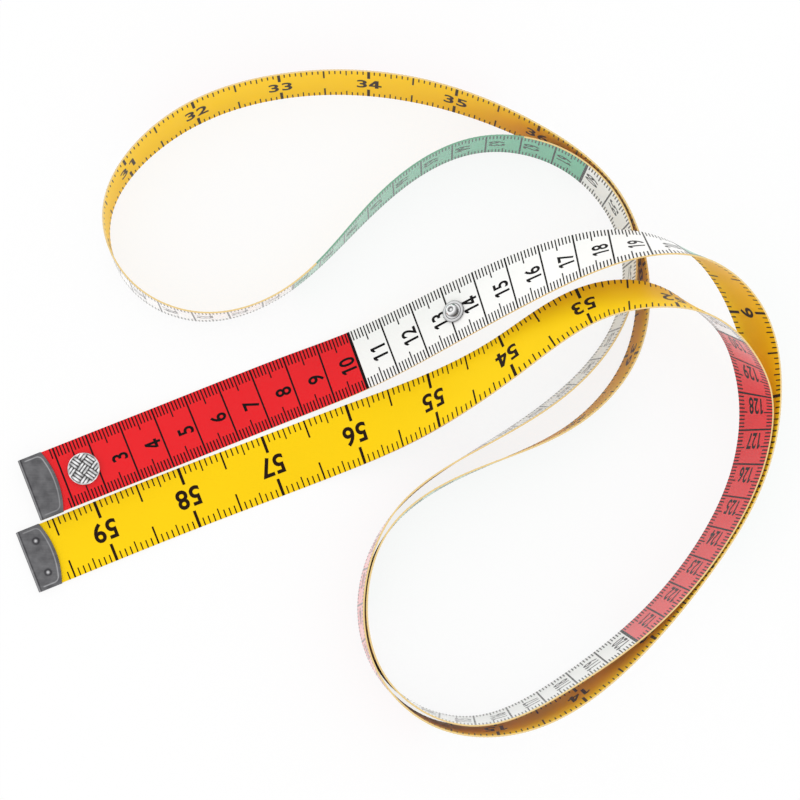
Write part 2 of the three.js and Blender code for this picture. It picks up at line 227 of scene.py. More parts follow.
tape = {
    "length": 1523, "width": 18, "thickness": 0.45, "field": 100, "dyeStart": 1.0, "clipOutside": 0.775,
    "dyedEdge": (620, 692),  # where the green has run over the edges
    "zeroEnd": (-103.1, -24.85), "routeMiddle": (0.8, -0.3), "heading": 22,
    "strandGap": 0.5, "crossingGap": 1.4, "capPlace": 16.7, "studPlace": 132, "clipLength": 8.7,
    "propReach": 75, "socketProp": 2.9, "clipProp": 0.55,  # each end rests on its metal pieces
    "samples": 6000, "tangentReach": 0.25, "columns": 18,  # cells across the tape
}
zeroStrand = [[0, 0, 0], [41, 0, 0], [82, 4, 0.02]]  # distance, roll, rise
loopStations = [  # x, y, roll, rise
    [-9.5, 12.5, 12, 0.1], [15.5, 24, 21, 0.48], [42, 35.5, 34, 0.9], [67, 41.8, 55, 1],
    [86.2, 38.8, 82, 0.7], [100.3, 24.4, 109, 0.22], [105.1, 3, 113, 0], [100.5, -21.3, 112, 0],
    [85.6, -47.6, 108.5, 0], [62.9, -73.9, 106, 0], [36, -90.5, 104, 0], [10.5, -89.8, 95, 0],
    [-5.2, -74.8, 88, 0], [-8.8, -55, 84, 0], [0.5, -31.3, 87, 0], [24, -13.5, 84.5, 0],
    [50.7, 4.8, 80, 0], [65, 25, 82, 0], [65.9, 48.5, 82.5, 0], [50.8, 68.3, 85, 0],
    [24.5, 73.8, 88, 0], [-4.4, 57, 89, 0], [-30.5, 31.5, 95, 0], [-54, 24.2, 91, 0],
    [-74.7, 33.7, 88, 0], [-81.6, 52, 90, 0], [-67.1, 76.2, 97, 0], [-33, 90.7, 98.5, 0],
    [5.5, 90, 99, 0], [40, 77.5, 95, 0], [62.8, 59.5, 91, 0], [70.6, 37, 95, 0],
    [67.5, 13, 99, 0], [51.2, -6.4, 97.5, 0], [22.1, -20, 93.5, 0], [-1.2, -36.6, 92.5, 0],
    [-7.8, -57, 94.5, 0], [-1.9, -78, 91, 0], [20.3, -89.7, 82, 0], [47.9, -79.3, 77, 0],
    [71.6, -61.4, 73, 0], [90.8, -38.1, 70.5, 0], [101.9, -11, 66.5, 0], [101.7, 4.5, 70, 0.12],
    [95.2, 16.6, 88, 0.5],
]
sixtyStrand = [  # distance along the zero strand, tape pitches to its right, roll, rise
    [193, 1.39, 100, 0.82], [183.5, 0.98, 118, 1], [168, 0.7, 131, 1], [137.8, 0.94, 137, 0.78],
    [114.5, 1.08, 154, 0.36], [86, 1.05, 177, 0.05], [62, 1.02, 181, 0], [40, 1, 182, 0],
    [10, 1, 182, 0], [-200, 1, 182, 0],
]


def inStrand(distance, pitches, *rest):
    # a place by the zero end: a distance along the heading, and pitches of the tape to its right
    heading = math.radians(tape["heading"])
    along = (math.cos(heading), math.sin(heading))
    right = pitches * (tape["width"] + tape["strandGap"])
    x = tape["zeroEnd"][0] + distance * along[0] + right * along[1]
    y = tape["zeroEnd"][1] + distance * along[1] - right * along[0]
    return [x, y, *rest]


def splineThrough(stations):
    # natural cubic spline over chord length h: the second slopes m solve
    # h[i-1] m[i-1] + 2 (h[i-1] + h[i]) m[i] + h[i] m[i+1] = 6 (slope[i] - slope[i-1])
    h = np.hypot(*np.diff(stations[:, :2], axis=0).T)
    knots = np.concatenate([[0], np.cumsum(h)])
    slope = np.diff(stations, axis=0) / h[:, None]
    inner = np.diag(2 * (h[:-1] + h[1:])) + np.diag(h[1:-1], 1) + np.diag(h[1:-1], -1)
    bend = np.zeros_like(stations)
    bend[1:-1] = np.linalg.solve(inner, 6 * np.diff(slope, axis=0))

    def at(place):
        i = np.clip(np.searchsorted(knots, place, side="right") - 1, 0, len(h) - 1)
        after = ((place - knots[i]) / h[i])[:, None]
        before = 1 - after
        sway = (h[i] ** 2 / 6)[:, None]
        return (before * stations[i] + after * stations[i + 1]
                + sway * ((before ** 3 - before) * bend[i] + (after ** 3 - after) * bend[i + 1]))

    return at, knots[-1]


routeAt, routeEnd = splineThrough(np.array(
    [inStrand(distance, 0, roll, rise) for distance, roll, rise in zeroStrand]
    + loopStations
    + [inStrand(*station) for station in sixtyStrand], float))


def tapeMiddle(place):
    # the lowest corner of the tape's section is on the table or at its rise
    x, y, roll, rise = routeAt(place).T
    roll = np.radians(np.clip(roll, 0, 180))
    lift = np.maximum(rise, 0) * (tape["width"] + tape["crossingGap"])
    z = lift + (tape["width"] * np.abs(np.sin(roll)) + tape["thickness"] * np.abs(np.cos(roll))) / 2
    return np.stack([x - tape["routeMiddle"][0], y - tape["routeMiddle"][1], z], axis=1), roll


places = np.linspace(0, routeEnd, tape["samples"] + 1)
steps = np.linalg.norm(np.diff(tapeMiddle(places)[0], axis=0), axis=1)
travelled = np.concatenate([[0], np.cumsum(steps)])


def smoothStep(value, low, high):
    # 0 below low, 1 above high and 3 t^2 - 2 t^3 between them
    t = np.clip((value - low) / (high - low), 0, 1)
    return t * t * (3 - 2 * t)


def tapePoint(length):
    # the middle line, raised where the zero end lies on its socket and the other on its clip
    point, roll = tapeMiddle(np.interp(length, travelled, places))
    onSocket = 1 - smoothStep(length, tape["capPlace"], tape["propReach"])
    onClip = 1 - smoothStep(tape["length"] - length, tape["clipLength"], tape["propReach"])
    point[:, 2] += onSocket * tape["socketProp"] + onClip * tape["clipProp"]
    return point, roll


def unit(vectors):
    return vectors / np.linalg.norm(vectors, axis=-1, keepdims=True)


def tapeFrame(length):
    # along the tape, across it from its left edge to its right, and out of its centimetre face
    point, roll = tapePoint(length)
    reach = tape["tangentReach"]
    along = unit(tapePoint(length + reach)[0] - tapePoint(np.maximum(length - reach, 0))[0])
    right = unit(np.stack([along[:, 1], -along[:, 0], np.zeros(len(along))], axis=1))
    over = np.cross(right, along)
    across = right * np.cos(roll)[:, None] + over * np.sin(roll)[:, None]
    return point, along, across, np.cross(across, along)


def onTape(length, across, height):
    # a point of the tape: its middle line + across the width + height out of the centimetre face, in metres
    length, across, height = (np.ravel(v) for v in np.broadcast_arrays(length, across, height))
    point, _, side, face = tapeFrame(length.astype(float))
    return (point + side * across[:, None] + face * height[:, None]) * mm


print(f"route {travelled[-1]:.0f} mm long, tape {tape['length']} mm")


# Mesh helpers

def putMesh(name, points, faces, materials, slots=None, uv=None, shade=None):
    # points (n, 3) in metres and faces (m, 3) or (m, 4), put in as whole arrays; uv and shade
    # have a row for each point
    faces = np.asarray(faces, np.int32)
    mesh = bpy.data.meshes.new(name)
    mesh.vertices.add(len(points))
    mesh.vertices.foreach_set("co", np.asarray(points, np.float32).ravel())
    mesh.loops.add(faces.size)
    mesh.loops.foreach_set("vertex_index", faces.ravel())
    mesh.polygons.add(len(faces))
    mesh.polygons.foreach_set("loop_start", np.arange(0, faces.size, faces.shape[1], dtype=np.int32))
    for material in materials:
        mesh.materials.append(material)
    if slots is not None:
        mesh.polygons.foreach_set("material_index", np.asarray(slots, np.int32))
    if uv is not None:
        layer = mesh.uv_layers.new(name="tapeMap")
        layer.data.foreach_set("uv", np.asarray(uv, np.float32)[faces.ravel()].ravel())
    if shade is not None:
        tones = mesh.attributes.new("shade", "FLOAT", "POINT")
        tones.data.foreach_set("value", np.asarray(shade, np.float32).ravel())
    mesh.polygons.foreach_set("use_smooth", np.ones(len(faces), bool))
    mesh.update(calc_edges=True)
    mesh.validate()
    piece = bpy.data.objects.new(name, mesh)
    scene.collection.objects.link(piece)
    return piece


def sharpen(piece, degrees):
    piece.data.set_sharp_from_angle(angle=math.radians(degrees))


def gridQuads(rows, columns):
    # cells of a grid, turned so that columns x rows points out
    first = np.arange(rows * columns).reshape(rows, columns)[:-1, :-1].ravel()
    return np.stack([first, first + 1, first + columns + 1, first + columns], axis=1)


def ringQuads(rows, columns, closed):
    # cells of a grid whose columns go round, and whose rows do too on a closed section
    index = np.arange(rows * columns).reshape(rows, columns)
    after = np.roll(index, -1, axis=1)
    quads = np.stack([index, after, np.roll(after, -1, axis=0), np.roll(index, -1, axis=0)], axis=-1)
    return quads[:rows if closed else rows - 1].reshape(-1, 4)


def thickFaces(quads, count):
    # two copies of a sheet, count points apart, closed by a wall along every free edge
    edges = np.concatenate([quads[:, [k, (k + 1) % 4]] for k in range(4)])
    forward = edges[:, 0].astype(np.int64) * count + edges[:, 1]
    backward = edges[:, 1].astype(np.int64) * count + edges[:, 0]
    a, b = edges[~np.isin(forward, backward)].T
    walls = np.stack([b, a, a + count, b + count], axis=1)
    return quads, quads[:, ::-1] + count, walls


# Tape: a flat ribbon carried along the route, in runs that meet between the bends

colours = {
    "red": linear(233, 8, 22), "white": linear(250, 249, 247), "green": linear(104, 188, 152),
    "yellow": linear(252, 210, 11), "edge": linear(234, 205, 142), "greenEdge": linear(126, 172, 146),
    "ink": linear(10, 8, 9), "brownInk": linear(26, 13, 6),
    "clipDark": linear(62, 61, 64), "clipBright": linear(206, 206, 208),
    "snapDark": linear(58, 56, 56), "snapBright": linear(246, 246, 247),
}
cloth = {
    "thread": 0.55, "weave": 0.12, "depth": 0.03, "weaveTone": 0.15, "weaveRough": 0.05,
    "mottle": 0.02, "mottleScale": 160, "mottleTone": 0.7, "mottleRough": 0.12,
    "coated": (0.3, 0.15), "matt": (0.08, 0.45), "print": (0.08, 0.2),  # gloss and roughness
    "sheenRoughness": 0.35, "redSheen": 0.7, "whiteSheen": 0.2, "yellowSheen": 0.22,
}
printInk = {"grain": 900, "wearAndHighlight": 2.2, "rough": 0.15, "centimetreSheen": 0.5, "inchSheen": 0.4}


def tapeFinish(name, colour, gloss, roughness, sheen=0):
    # a plain weave under the coat, threads over and under by turns, and a little mottling
    cover = newMaterial(name)
    uv = cover.add("ShaderNodeUVMap", {"uv_map": "tapeMap"})
    u = cover.add("ShaderNodeSeparateXYZ", {}, {0: uv}, out=0) * (1 / cloth["thread"])
    v = cover.add("ShaderNodeSeparateXYZ", {}, {0: uv}, out=1) * (1 / cloth["thread"])
    turn = (u.floor() + v.floor()) % 2
    warp = ((u % 1) * math.pi).sine()
    weft = ((v % 1) * math.pi).sine()
    weave = warp * turn + weft * (1 - turn)
    place = cover.add("ShaderNodeTexCoord", out="Object")
    mottle = cover.noise(place, cloth["mottleScale"], detail=4)
    deep = tuple(c * (1 - 2 * cloth["mottle"]) for c in colour[:3]) + (1,)
    shade = cover.mix(mottle * cloth["mottleTone"] + weave * cloth["weaveTone"], deep, colour)
    rough = roughness + mottle * cloth["mottleRough"] - weave * cloth["weaveRough"]
    return cover.surface(Base_Color=shade, Roughness=rough, Specular_IOR_Level=gloss,
                         Sheen_Weight=sheen, Sheen_Roughness=cloth["sheenRoughness"],
                         Normal=cover.bump(weave, cloth["weave"], cloth["depth"] * mm))


def inkFinish(name, colour, gloss, roughness, sheen):
    # black with a fine worn grain
    ink = newMaterial(name)
    place = ink.add("ShaderNodeTexCoord", out="Object")
    grain = ink.noise(place, printInk["grain"], detail=2)
    wearAndHighlight = tuple(min(c * printInk["wearAndHighlight"], 1) for c in colour[:3]) + (1,)
    return ink.surface(Base_Color=ink.mix(grain, colour, wearAndHighlight), Specular_IOR_Level=gloss,
                       Roughness=roughness + grain * printInk["rough"],
                       Sheen_Weight=sheen, Sheen_Roughness=cloth["sheenRoughness"])


tapeMaterials = [
    tapeFinish("tapeRed", colours["red"], *cloth["coated"], sheen=cloth["redSheen"]),
    tapeFinish("tapeWhite", colours["white"], *cloth["coated"], sheen=cloth["whiteSheen"]),
    tapeFinish("tapeGreen", colours["green"], *cloth["coated"]),
    tapeFinish("tapeYellow", colours["yellow"], *cloth["matt"], sheen=cloth["yellowSheen"]),
    tapeFinish("tapeEdge", colours["edge"], *cloth["matt"]),
    tapeFinish("tapeGreenEdge", colours["greenEdge"], *cloth["matt"]),
]
fieldNames = ["red", "white", "green", "white"]  # by turns along the tape
fieldSlots = np.array([0, 1, 2, 1])  # their places in tapeMaterials
yellowSlot, edgeSlot, greenEdgeSlot = 3, 4, 5
inkMaterials = [
    inkFinish("centimetreInk", colours["ink"], *cloth["print"], sheen=printInk["centimetreSheen"]),
    inkFinish("inchInk", colours["brownInk"], *cloth["matt"], sheen=printInk["inchSheen"]),
]

holes = [  # place, radius and half of the grid block that the hole takes out
    (tape["capPlace"], 1.7, 2), (tape["studPlace"], 0.95, 1),
]


def makeRibbon(name, start, end):
    # grid over (length, across): a row at each whole millimetre, each colour change and both ends of the run;
    # then its two faces and their walls
    dyes = np.arange(tape["dyeStart"], tape["length"], tape["field"])
    whole = np.arange(math.ceil(start), end)
    lengths = np.unique(np.concatenate([whole, dyes[(dyes > start) & (dyes < end)], [start, end]]))
    sides = np.linspace(-tape["width"] / 2, tape["width"] / 2, tape["columns"] + 1)
    s, w = (grid.copy() for grid in np.meshgrid(lengths, sides, indexing="ij"))
    quads = gridQuads(len(lengths), len(sides))
    kept = np.ones(len(quads), bool)
    for place, radius, block in holes:
        if start < place < end:
            # the block's outline is drawn in to a circle
            ahead = s - round(place)
            reach = np.maximum(np.abs(ahead), np.abs(w))
            kept &= ~(reach.ravel()[quads] <= block).all(axis=1)
            rim = reach == block
            turn = np.arctan2(w[rim], ahead[rim])
            s[rim] = place + radius * np.cos(turn)
            w[rim] = radius * np.sin(turn)
    upper, lower, walls = thickFaces(quads[kept], s.size)
    faces = np.concatenate([upper, lower, walls])
    used, numbered = np.unique(faces, return_inverse=True)
    half = tape["thickness"] / 2
    points = np.concatenate([onTape(s, w, half), onTape(s, w, -half)])
    uv = np.tile(np.stack([s.ravel(), w.ravel()], axis=1), (2, 1))

    middle, brink = (s.ravel()[part % s.size].mean(axis=1) for part in (upper, walls))
    field = ((middle - tape["dyeStart"]) // tape["field"]).astype(int) % len(fieldSlots)
    dyed = (brink > tape["dyedEdge"][0]) & (brink < tape["dyedEdge"][1])
    slots = np.concatenate([fieldSlots[field], np.full(len(lower), yellowSlot),
                            np.where(dyed, greenEdgeSlot, edgeSlot)])
    ribbon = putMesh(name, points[used], numbered.reshape(faces.shape), tapeMaterials, slots, uv[used])
    sharpen(ribbon, degrees=40)
    return ribbon


# Print: ticks as small quads and digits as flat outlines, both laid on the tape's faces

scale = {
    "ink": 0.02,  # height of the print over the face
    "start": 0.55,  # where the scale's zero lies
    "centimetre": 10, "fine": 0.37, "millimetre": 3.0, "half": 4.5, "line": 0.5, "decade": 0.88,
    "digitHeight": 4.7, "digitWidth": 2.45, "digitPitch": 2.75, "digitBack": 3.2, "digitAside": 0.55,
    "digitWeight": 0.02, "firstNumber": 3,
    "inch": 25.4, "parts": 16, "sixteenth": 2.3, "quarter": 3.2, "halfInch": 5.2, "whole": 5.0,
    "inchFine": 0.36, "inchHalf": 0.5, "inchBold": 0.85,
    "inchHeight": 5.7, "inchWidth": 3.5, "inchPitch": 3.85, "inchWeight": 0.024,
    "slice": 0.6,  # width of the strips that a digit is cut into
    "curveSteps": 4,
}
strokes = {  # of the digits 1 and 4, in the font's own units
    "half": 0.049, "top": 0.69, "flag": 0.13, "flagDrop": 0.1, "flagTip": 1.7, "flagRoot": 2.2,
    "left": 0.011, "right": 0.471, "stem": 0.3, "bar": 0.2, "slant": 1.7,
}


def drawnDigit(digit, weight):
    # the 1 with its flag and the 4 as strokes; b is half of a stroke
    b, foot, top = strokes["half"] + weight, -weight, strokes["top"] + weight
    if digit == "1":
        flag, drop = -b - strokes["flag"], top - strokes["flagDrop"]
        return [[(-b, foot), (b, foot), (b, top), (-b, top)],
                [(-b, top), (flag, drop), (flag, drop - strokes["flagTip"] * b),
                 (-b, top - strokes["flagRoot"] * b)]]
    left, right, stem = strokes["left"] - weight, strokes["right"] + weight, strokes["stem"]
    low, high = strokes["bar"] - b, strokes["bar"] + b
    slope = (top - high) / (stem - b - left)
    thick = strokes["slant"] * b * math.hypot(1, slope) / slope
    return [[(stem - b, foot), (stem + b, foot), (stem + b, top), (stem - b, top)],
            [(left, low), (stem - b, low), (stem - b, high), (left, high)],
            [(stem + b, low), (right, low), (right, high), (stem + b, high)],
            [(left, high), (left + thick, high), (stem - b, top - thick * slope), (stem - b, top)]]


def fontDigit(digit, weight):
    curve = bpy.data.curves.new("digit", "FONT")
    curve.body = digit
    curve.offset = weight
    curve.resolution_u = scale["curveSteps"]
    text = bpy.data.objects.new("digit", curve)
    scene.collection.objects.link(text)
    bpy.context.view_layer.update()
    mesh = bpy.data.meshes.new_from_object(text.evaluated_get(bpy.context.evaluated_depsgraph_get()))
    outlines = [[tuple(mesh.vertices[k].co[:2]) for k in face.vertices] for face in mesh.polygons]
    bpy.data.objects.remove(text)
    bpy.data.curves.remove(curve)
    bpy.data.meshes.remove(mesh)
    return outlines


def digitShapes(width, height, weight, sliceAxis):
    # each digit as a flat mesh about its middle, all scaled as the 0 is, cut into slices so that it can bend
    shapes = {}
    size = middle = None
    for digit in "0123456789":
        shape = bmesh.new()
        for outline in drawnDigit(digit, weight) if digit in "14" else fontDigit(digit, weight):
            shape.faces.new([shape.verts.new((*point, 0)) for point in outline])
        corners = np.array([v.co for v in shape.verts])
        low, high = corners.min(axis=0), corners.max(axis=0)
        if size is None:
            size = (width / (high[0] - low[0]), height / (high[1] - low[1]), 1)
            middle = (low[1] + high[1]) / 2
        bmesh.ops.translate(shape, verts=shape.verts, vec=(-(low[0] + high[0]) / 2, -middle, 0))
        bmesh.ops.scale(shape, verts=shape.verts, vec=size)
        span = (width if sliceAxis == 0 else height) / 2
        normal = (1, 0, 0) if sliceAxis == 0 else (0, 1, 0)
        for cut in np.arange(-span + scale["slice"], span, scale["slice"]):
            geometry = shape.verts[:] + shape.edges[:] + shape.faces[:]
            bmesh.ops.bisect_plane(shape, geom=geometry, plane_co=Vector(normal) * cut, plane_no=normal)
        bmesh.ops.triangulate(shape, faces=shape.faces)
        shape.verts.index_update()
        points = np.array([v.co[:2] for v in shape.verts])
        shapes[digit] = points, np.array([[v.index for v in f.verts] for f in shape.faces])
        shape.free()
    return shapes


def spell(shapes, number, pitch):
    # the digits of a number side by side about the middle
    text = str(number)
    points, faces, count = [], [], 0
    for place, digit in enumerate(text):
        outline, triangles = shapes[digit]
        points.append(outline + [(place - (len(text) - 1) / 2) * pitch, 0])
        faces.append(triangles + count)
        count += len(outline)
    return np.concatenate(points), np.concatenate(faces)


class PrintSheet:
    # print gathered as (length, across, height) points and triangles, with each mark's own place
    def __init__(self):
        self.points, self.faces, self.marks, self.count = [], [], [], 0

    def put(self, points, faces, mark):
        self.points.append(points)
        self.faces.append(np.asarray(faces) + self.count)
        self.marks.append(np.broadcast_to(mark, len(faces)))
        self.count += len(points)

    def ticks(self, at, thick, low, high, face):
        # one quad for each tick: at +- thick / 2 along, low to high across
        at = np.asarray(at, float)
        ahead = np.stack([at - thick / 2, at - thick / 2, at + thick / 2, at + thick / 2], axis=1).ravel()
        across = np.tile([low, high, high, low] if face > 0 else [high, low, low, high], len(at))
        height = np.full(len(ahead), face * (tape["thickness"] / 2 + scale["ink"]))
        first = 4 * np.arange(len(at))[:, None]
        faces = np.concatenate([first + [0, 1, 2], first + [0, 2, 3]])
        self.put(np.stack([ahead, across, height], axis=1), faces, np.tile(at, 2))

    def edgeTicks(self, at, thick, long, face):
        edge = tape["width"] / 2
        self.ticks(at, thick, -edge, long - edge, face)
        self.ticks(at, thick, edge - long, edge, face)

    def run(self, start, end):
        points, faces = np.concatenate(self.points), np.concatenate(self.faces)
        marks = np.concatenate(self.marks)
        faces = faces[(marks > start) & (marks <= end)]
        used, inverse = np.unique(faces, return_inverse=True)
        return points[used], inverse.reshape(faces.shape)


def printScales():
    sheet = PrintSheet()
    zero, edge = scale["start"], tape["width"] / 2
    reach = np.arange(math.ceil(tape["clipLength"]), tape["length"] - tape["clipLength"])
    whole = reach % scale["centimetre"] == 0
    half = reach % scale["centimetre"] == scale["centimetre"] / 2
    decade = reach % tape["field"] == 0
    sheet.edgeTicks(zero + reach[~(whole | half)], scale["fine"], scale["millimetre"], 1)
    sheet.edgeTicks(zero + reach[half], scale["fine"], scale["half"], 1)
    sheet.ticks(zero + reach[whole & ~decade], scale["line"], -edge, edge, 1)
    sheet.ticks(zero + reach[decade], scale["decade"], -edge, edge, 1)

    part = scale["inch"] / scale["parts"]
    first, last = math.ceil(tape["clipLength"] / part), int((tape["length"] - tape["clipLength"]) / part)
    parts = np.arange(first, last + 1)
    at = zero + parts * part
    share = parts % scale["parts"] / scale["parts"]
    inch, half, quarter = share == 0, share == 0.5, (share == 0.25) | (share == 0.75)
    sheet.edgeTicks(at[inch], scale["inchBold"], scale["whole"], -1)
    sheet.edgeTicks(at[half], scale["inchHalf"], scale["halfInch"], -1)
    sheet.edgeTicks(at[quarter], scale["inchFine"], scale["quarter"], -1)
    sheet.edgeTicks(at[~(inch | half | quarter)], scale["inchFine"], scale["sixteenth"], -1)

    rise = tape["thickness"] / 2 + scale["ink"]
    shapes = digitShapes(scale["digitWidth"], scale["digitHeight"], scale["digitWeight"], 1)
    for number in range(scale["firstNumber"], int(tape["length"] / scale["centimetre"])):
        flat, faces = spell(shapes, number, scale["digitPitch"])
        middle = zero + scale["centimetre"] * number - scale["digitBack"]
        across = scale["digitAside"] - flat[:, 0]
        points = np.stack([middle - flat[:, 1], across, np.full(len(flat), rise)], axis=1)
        sheet.put(points, faces, middle)
    shapes = digitShapes(scale["inchWidth"], scale["inchHeight"], scale["inchWeight"], 0)
    for number in range(1, int(tape["length"] / scale["inch"]) + 1):
        flat, faces = spell(shapes, number, scale["inchPitch"])
        middle = zero + scale["inch"] * number
        points = np.stack([middle + flat[:, 0], flat[:, 1], np.full(len(flat), -rise)], axis=1)
        sheet.put(points, faces, middle)
    return sheet


scales = printScales()
print(f"print laid out, {scales.count} points")

bends = (25.3, 51.3, 77.3)  # of a free end, from its tip
joins = (39.5, 64, 99)  # between the runs of a free end, from its tip
bendReach = 8  # how much tape on the tip's side of a bend takes part in it
capBendReach = 3.5  # less beside the cap, where the tape stays flat
wholeFields = range(2, 15)  # the colour fields that are one run each
field, farEnd = tape["field"], tape["length"]
runs = [  # name, start, end, the solids that it stands for, slot, and the bend: bodies, from length to length
    ("zeroTip", tape["clipOutside"], joins[0], ["tape_zero_tip"], "tape_red",
     ("zero_tip", "zero_bend_outer", bends[0] - capBendReach, bends[0])),
    ("zeroOuter", joins[0], joins[1], ["tape_zero_bend_outer"], "tape_red",
     ("zero_bend_outer", "zero_bend_inner", bends[1] - bendReach, bends[1])),
    ("zeroInner", joins[1], field, ["tape_zero_bend_inner", "tape_field_1"], "tape_red",
     ("zero_bend_inner", "loops", bends[2] - bendReach, bends[2])),
]
for number in wholeFields:
    slot = f"tape_{fieldNames[(number - 1) % len(fieldNames)]}"
    reach = field * (number - 1), field * number
    runs.append((f"field{number}", *reach, [f"tape_field_{number}"], slot, None))
runs += [
    ("field15", field * wholeFields[-1], farEnd - joins[2], ["tape_field_15"], "tape_green", None),
    ("sixtyInner", farEnd - joins[2], farEnd - joins[1], ["tape_sixty_bend_inner"], "tape_green",
     ("loops", "sixty_bend_inner", farEnd - bends[2], farEnd - bends[2] + bendReach)),
    ("sixtyOuter", farEnd - joins[1], farEnd - joins[0], ["tape_sixty_bend_outer"], "tape_green",
     ("sixty_bend_inner", "sixty_bend_outer", farEnd - bends[1], farEnd - bends[1] + bendReach)),
    ("sixtyTip", farEnd - joins[0], farEnd - tape["clipOutside"], ["tape_sixty_tip"], "tape_white",
     ("sixty_bend_outer", "sixty_tip", farEnd - bends[0], farEnd - bends[0] + bendReach)),
]


def carry(piece, bend):
    # on the loops, or, for a run over a bend, with its transform baked into its points
    if bend is None:
        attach(piece, "loops")
        return
    first, second, start, end = bend
    tuple(onTape(start, 0, 0)[0])
    tuple(onTape(end, 0, 0)[0])
    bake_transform(piece)


for name, start, end, solids, slot, bend in runs:
    ribbon = makeRibbon(f"tape_{name}", start, end)
    carry(ribbon, bend)
    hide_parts(*solids)
    marks, faces = scales.run(start, end)
    onInchFace = marks[faces[:, 0], 2] < 0
    printed = putMesh(f"print_{name}", onTape(*marks.T), faces, inkMaterials, slots=onInchFace)
    carry(printed, bend)
    (end - start) * mm
print(f"{len(runs)} runs of tape")


# Metal pieces

metal = {
    "ripple": 0.01, "bump": 0.12, "drawn": 0.38,  # direction in which the sheet was drawn
    "scratchScale": 2600, "scratchTone": 0.1, "scratchRough": 0.08,
    "blotchScale": 420, "blotchRough": 0.16,
    "clip": {"roughness": 0.3, "stretch": 0.08, "wear": 0.32},
    "snap": {"roughness": 0.14, "stretch": 1, "wear": 0.2},
}


def metalFinish(name, dark, bright, roughness, stretch, wear):
    # pressed sheet: the points' tone, which holds painted highlights and painted shade on the clips, cap and
    # stud, with fine scratches and blotches of dull and bright
    steel = newMaterial(name)
    place = steel.add("ShaderNodeTexCoord", out="Object")
    # the points' tone, with its painted highlights and painted shade
    tone = steel.add("ShaderNodeAttribute", {"attribute_name": "shade"}, out="Fac")
    drawn = steel.add("ShaderNodeMapping", {}, {
        "Vector": place, "Scale": (stretch, 1, 1), "Rotation": (0, 0, metal["drawn"])})
    scratch = steel.noise(drawn, metal["scratchScale"], detail=2)
    blotch = steel.noise(place, metal["blotchScale"], detail=4)
    share = tone + (blotch - 0.5) * wear + (scratch - 0.5) * metal["scratchTone"]
    rough = roughness + blotch * metal["blotchRough"] + scratch * metal["scratchRough"]
    return steel.surface(Base_Color=steel.mix(share, dark, bright), Roughness=rough, Metallic=1.0,
                         Normal=steel.bump(scratch, metal["bump"], metal["ripple"] * mm))


clipMetal = metalFinish("clipMetal", colours["clipDark"], colours["clipBright"], **metal["clip"])
snapMetal = metalFinish("snapMetal", colours["snapDark"], colours["snapBright"], **metal["snap"])


def placed(points, length, turned=False):
    # local points, x along the tape, y to its left and z out of the centimetre face, at a length of the tape
    middle, along, across, face = (v[0] for v in tapeFrame(np.array([float(length)])))
    sign = -1 if turned else 1
    basis = np.stack([sign * along, -sign * across, face])
    return (points @ basis + middle) * mm


def soften(piece, width, degrees, segments=2):
    # rounds the edges that are sharper than this angle
    bevel = piece.modifiers.new("soften", "BEVEL")
    bevel.width = width * mm
    bevel.segments = segments
    bevel.limit_method = "ANGLE"
    bevel.angle_limit = math.radians(degrees)


clip = {
    "side": 7, "bulge": 1.7, "overhang": 0.1, "inside": 0.425, "sheet": 0.35,
    "across": 150, "along": 84, "fold": 20,  # points of the grid
    "border": 0.95, "borderWidth": 0.16, "borderDepth": 0.05, "cornerRound": 1.2,
    "borderEnds": (1.5, 2.2), "borderLit": 0.55,  # least light along the line
    "foldLight": 0.42, "foldDark": 0.86, "foldWidth": 0.16, "foldDepth": 0.05,
    "dents": [(4.5, 4.8), (4.5, -4.8)], "dentRadius": 1.45, "dentDepth": 0.16,
    "dentBoss": 0.14, "bossWidth": 0.42, "glintWidth": 0.3,
    # tones: the base, painted highlights on the pressed line and beside the fold, and painted shade in the
    # fold
    "tone": 0.17, "borderHighlight": 0.5, "foldHighlight": 0.3, "foldShade": 0.9, "edge": 0.07,
}


def ridge(distance, width):
    # a rounded line: exp(-(distance / width)^2)
    return np.exp(-(distance / width) ** 2)


def clipRelief(x, y, rim, dented):
    # height and tone of the sheet: a pressed line a fixed way in from the outline, a line along the fold, and
    # on the inch side two dents that grip the tape; the tone holds painted highlights on the pressed line and
    # beside the fold, painted shade in the fold and in each dent, and a painted glint in each dent's middle
    half = tape["width"] / 2 + clip["overhang"]
    a, b, r = rim - x, half - np.abs(y), clip["border"] + clip["cornerRound"]
    corner = r - np.hypot(np.maximum(r - a, 0), np.maximum(r - b, 0))
    inset = np.where((a < r) & (b < r), corner, np.minimum(a, b))
    line = ridge(inset - clip["border"], clip["borderWidth"]) * smoothStep(x, *clip["borderEnds"])
    fold = ridge(x - clip["foldDark"], clip["foldWidth"])
    relief = -clip["borderDepth"] * line - clip["foldDepth"] * fold
    # painted highlight on the pressed line, brighter towards one side of the clip
    lit = clip["borderLit"] + (1 - clip["borderLit"]) * smoothStep(y, -half, half)
    # painted shade in the fold and a painted highlight beside it
    tone = clip["tone"] + clip["borderHighlight"] * line * lit - clip["tone"] * clip["foldShade"] * fold
    tone = tone + clip["foldHighlight"] * ridge(x - clip["foldLight"], clip["foldWidth"])
    if dented:
        for px, py in clip["dents"]:
            away = np.hypot(x - px, y - py) / clip["dentRadius"]
            bowl = np.where(away < 1, np.sin(np.pi * away) ** 2, 0)
            boss = ridge(away, clip["bossWidth"])
            relief = relief - clip["dentDepth"] * bowl + clip["dentBoss"] * boss
            # painted shade in the dent's bowl and a painted glint in its middle
            tone = tone - clip["tone"] * bowl + ridge(away, clip["glintWidth"])
    return relief, tone


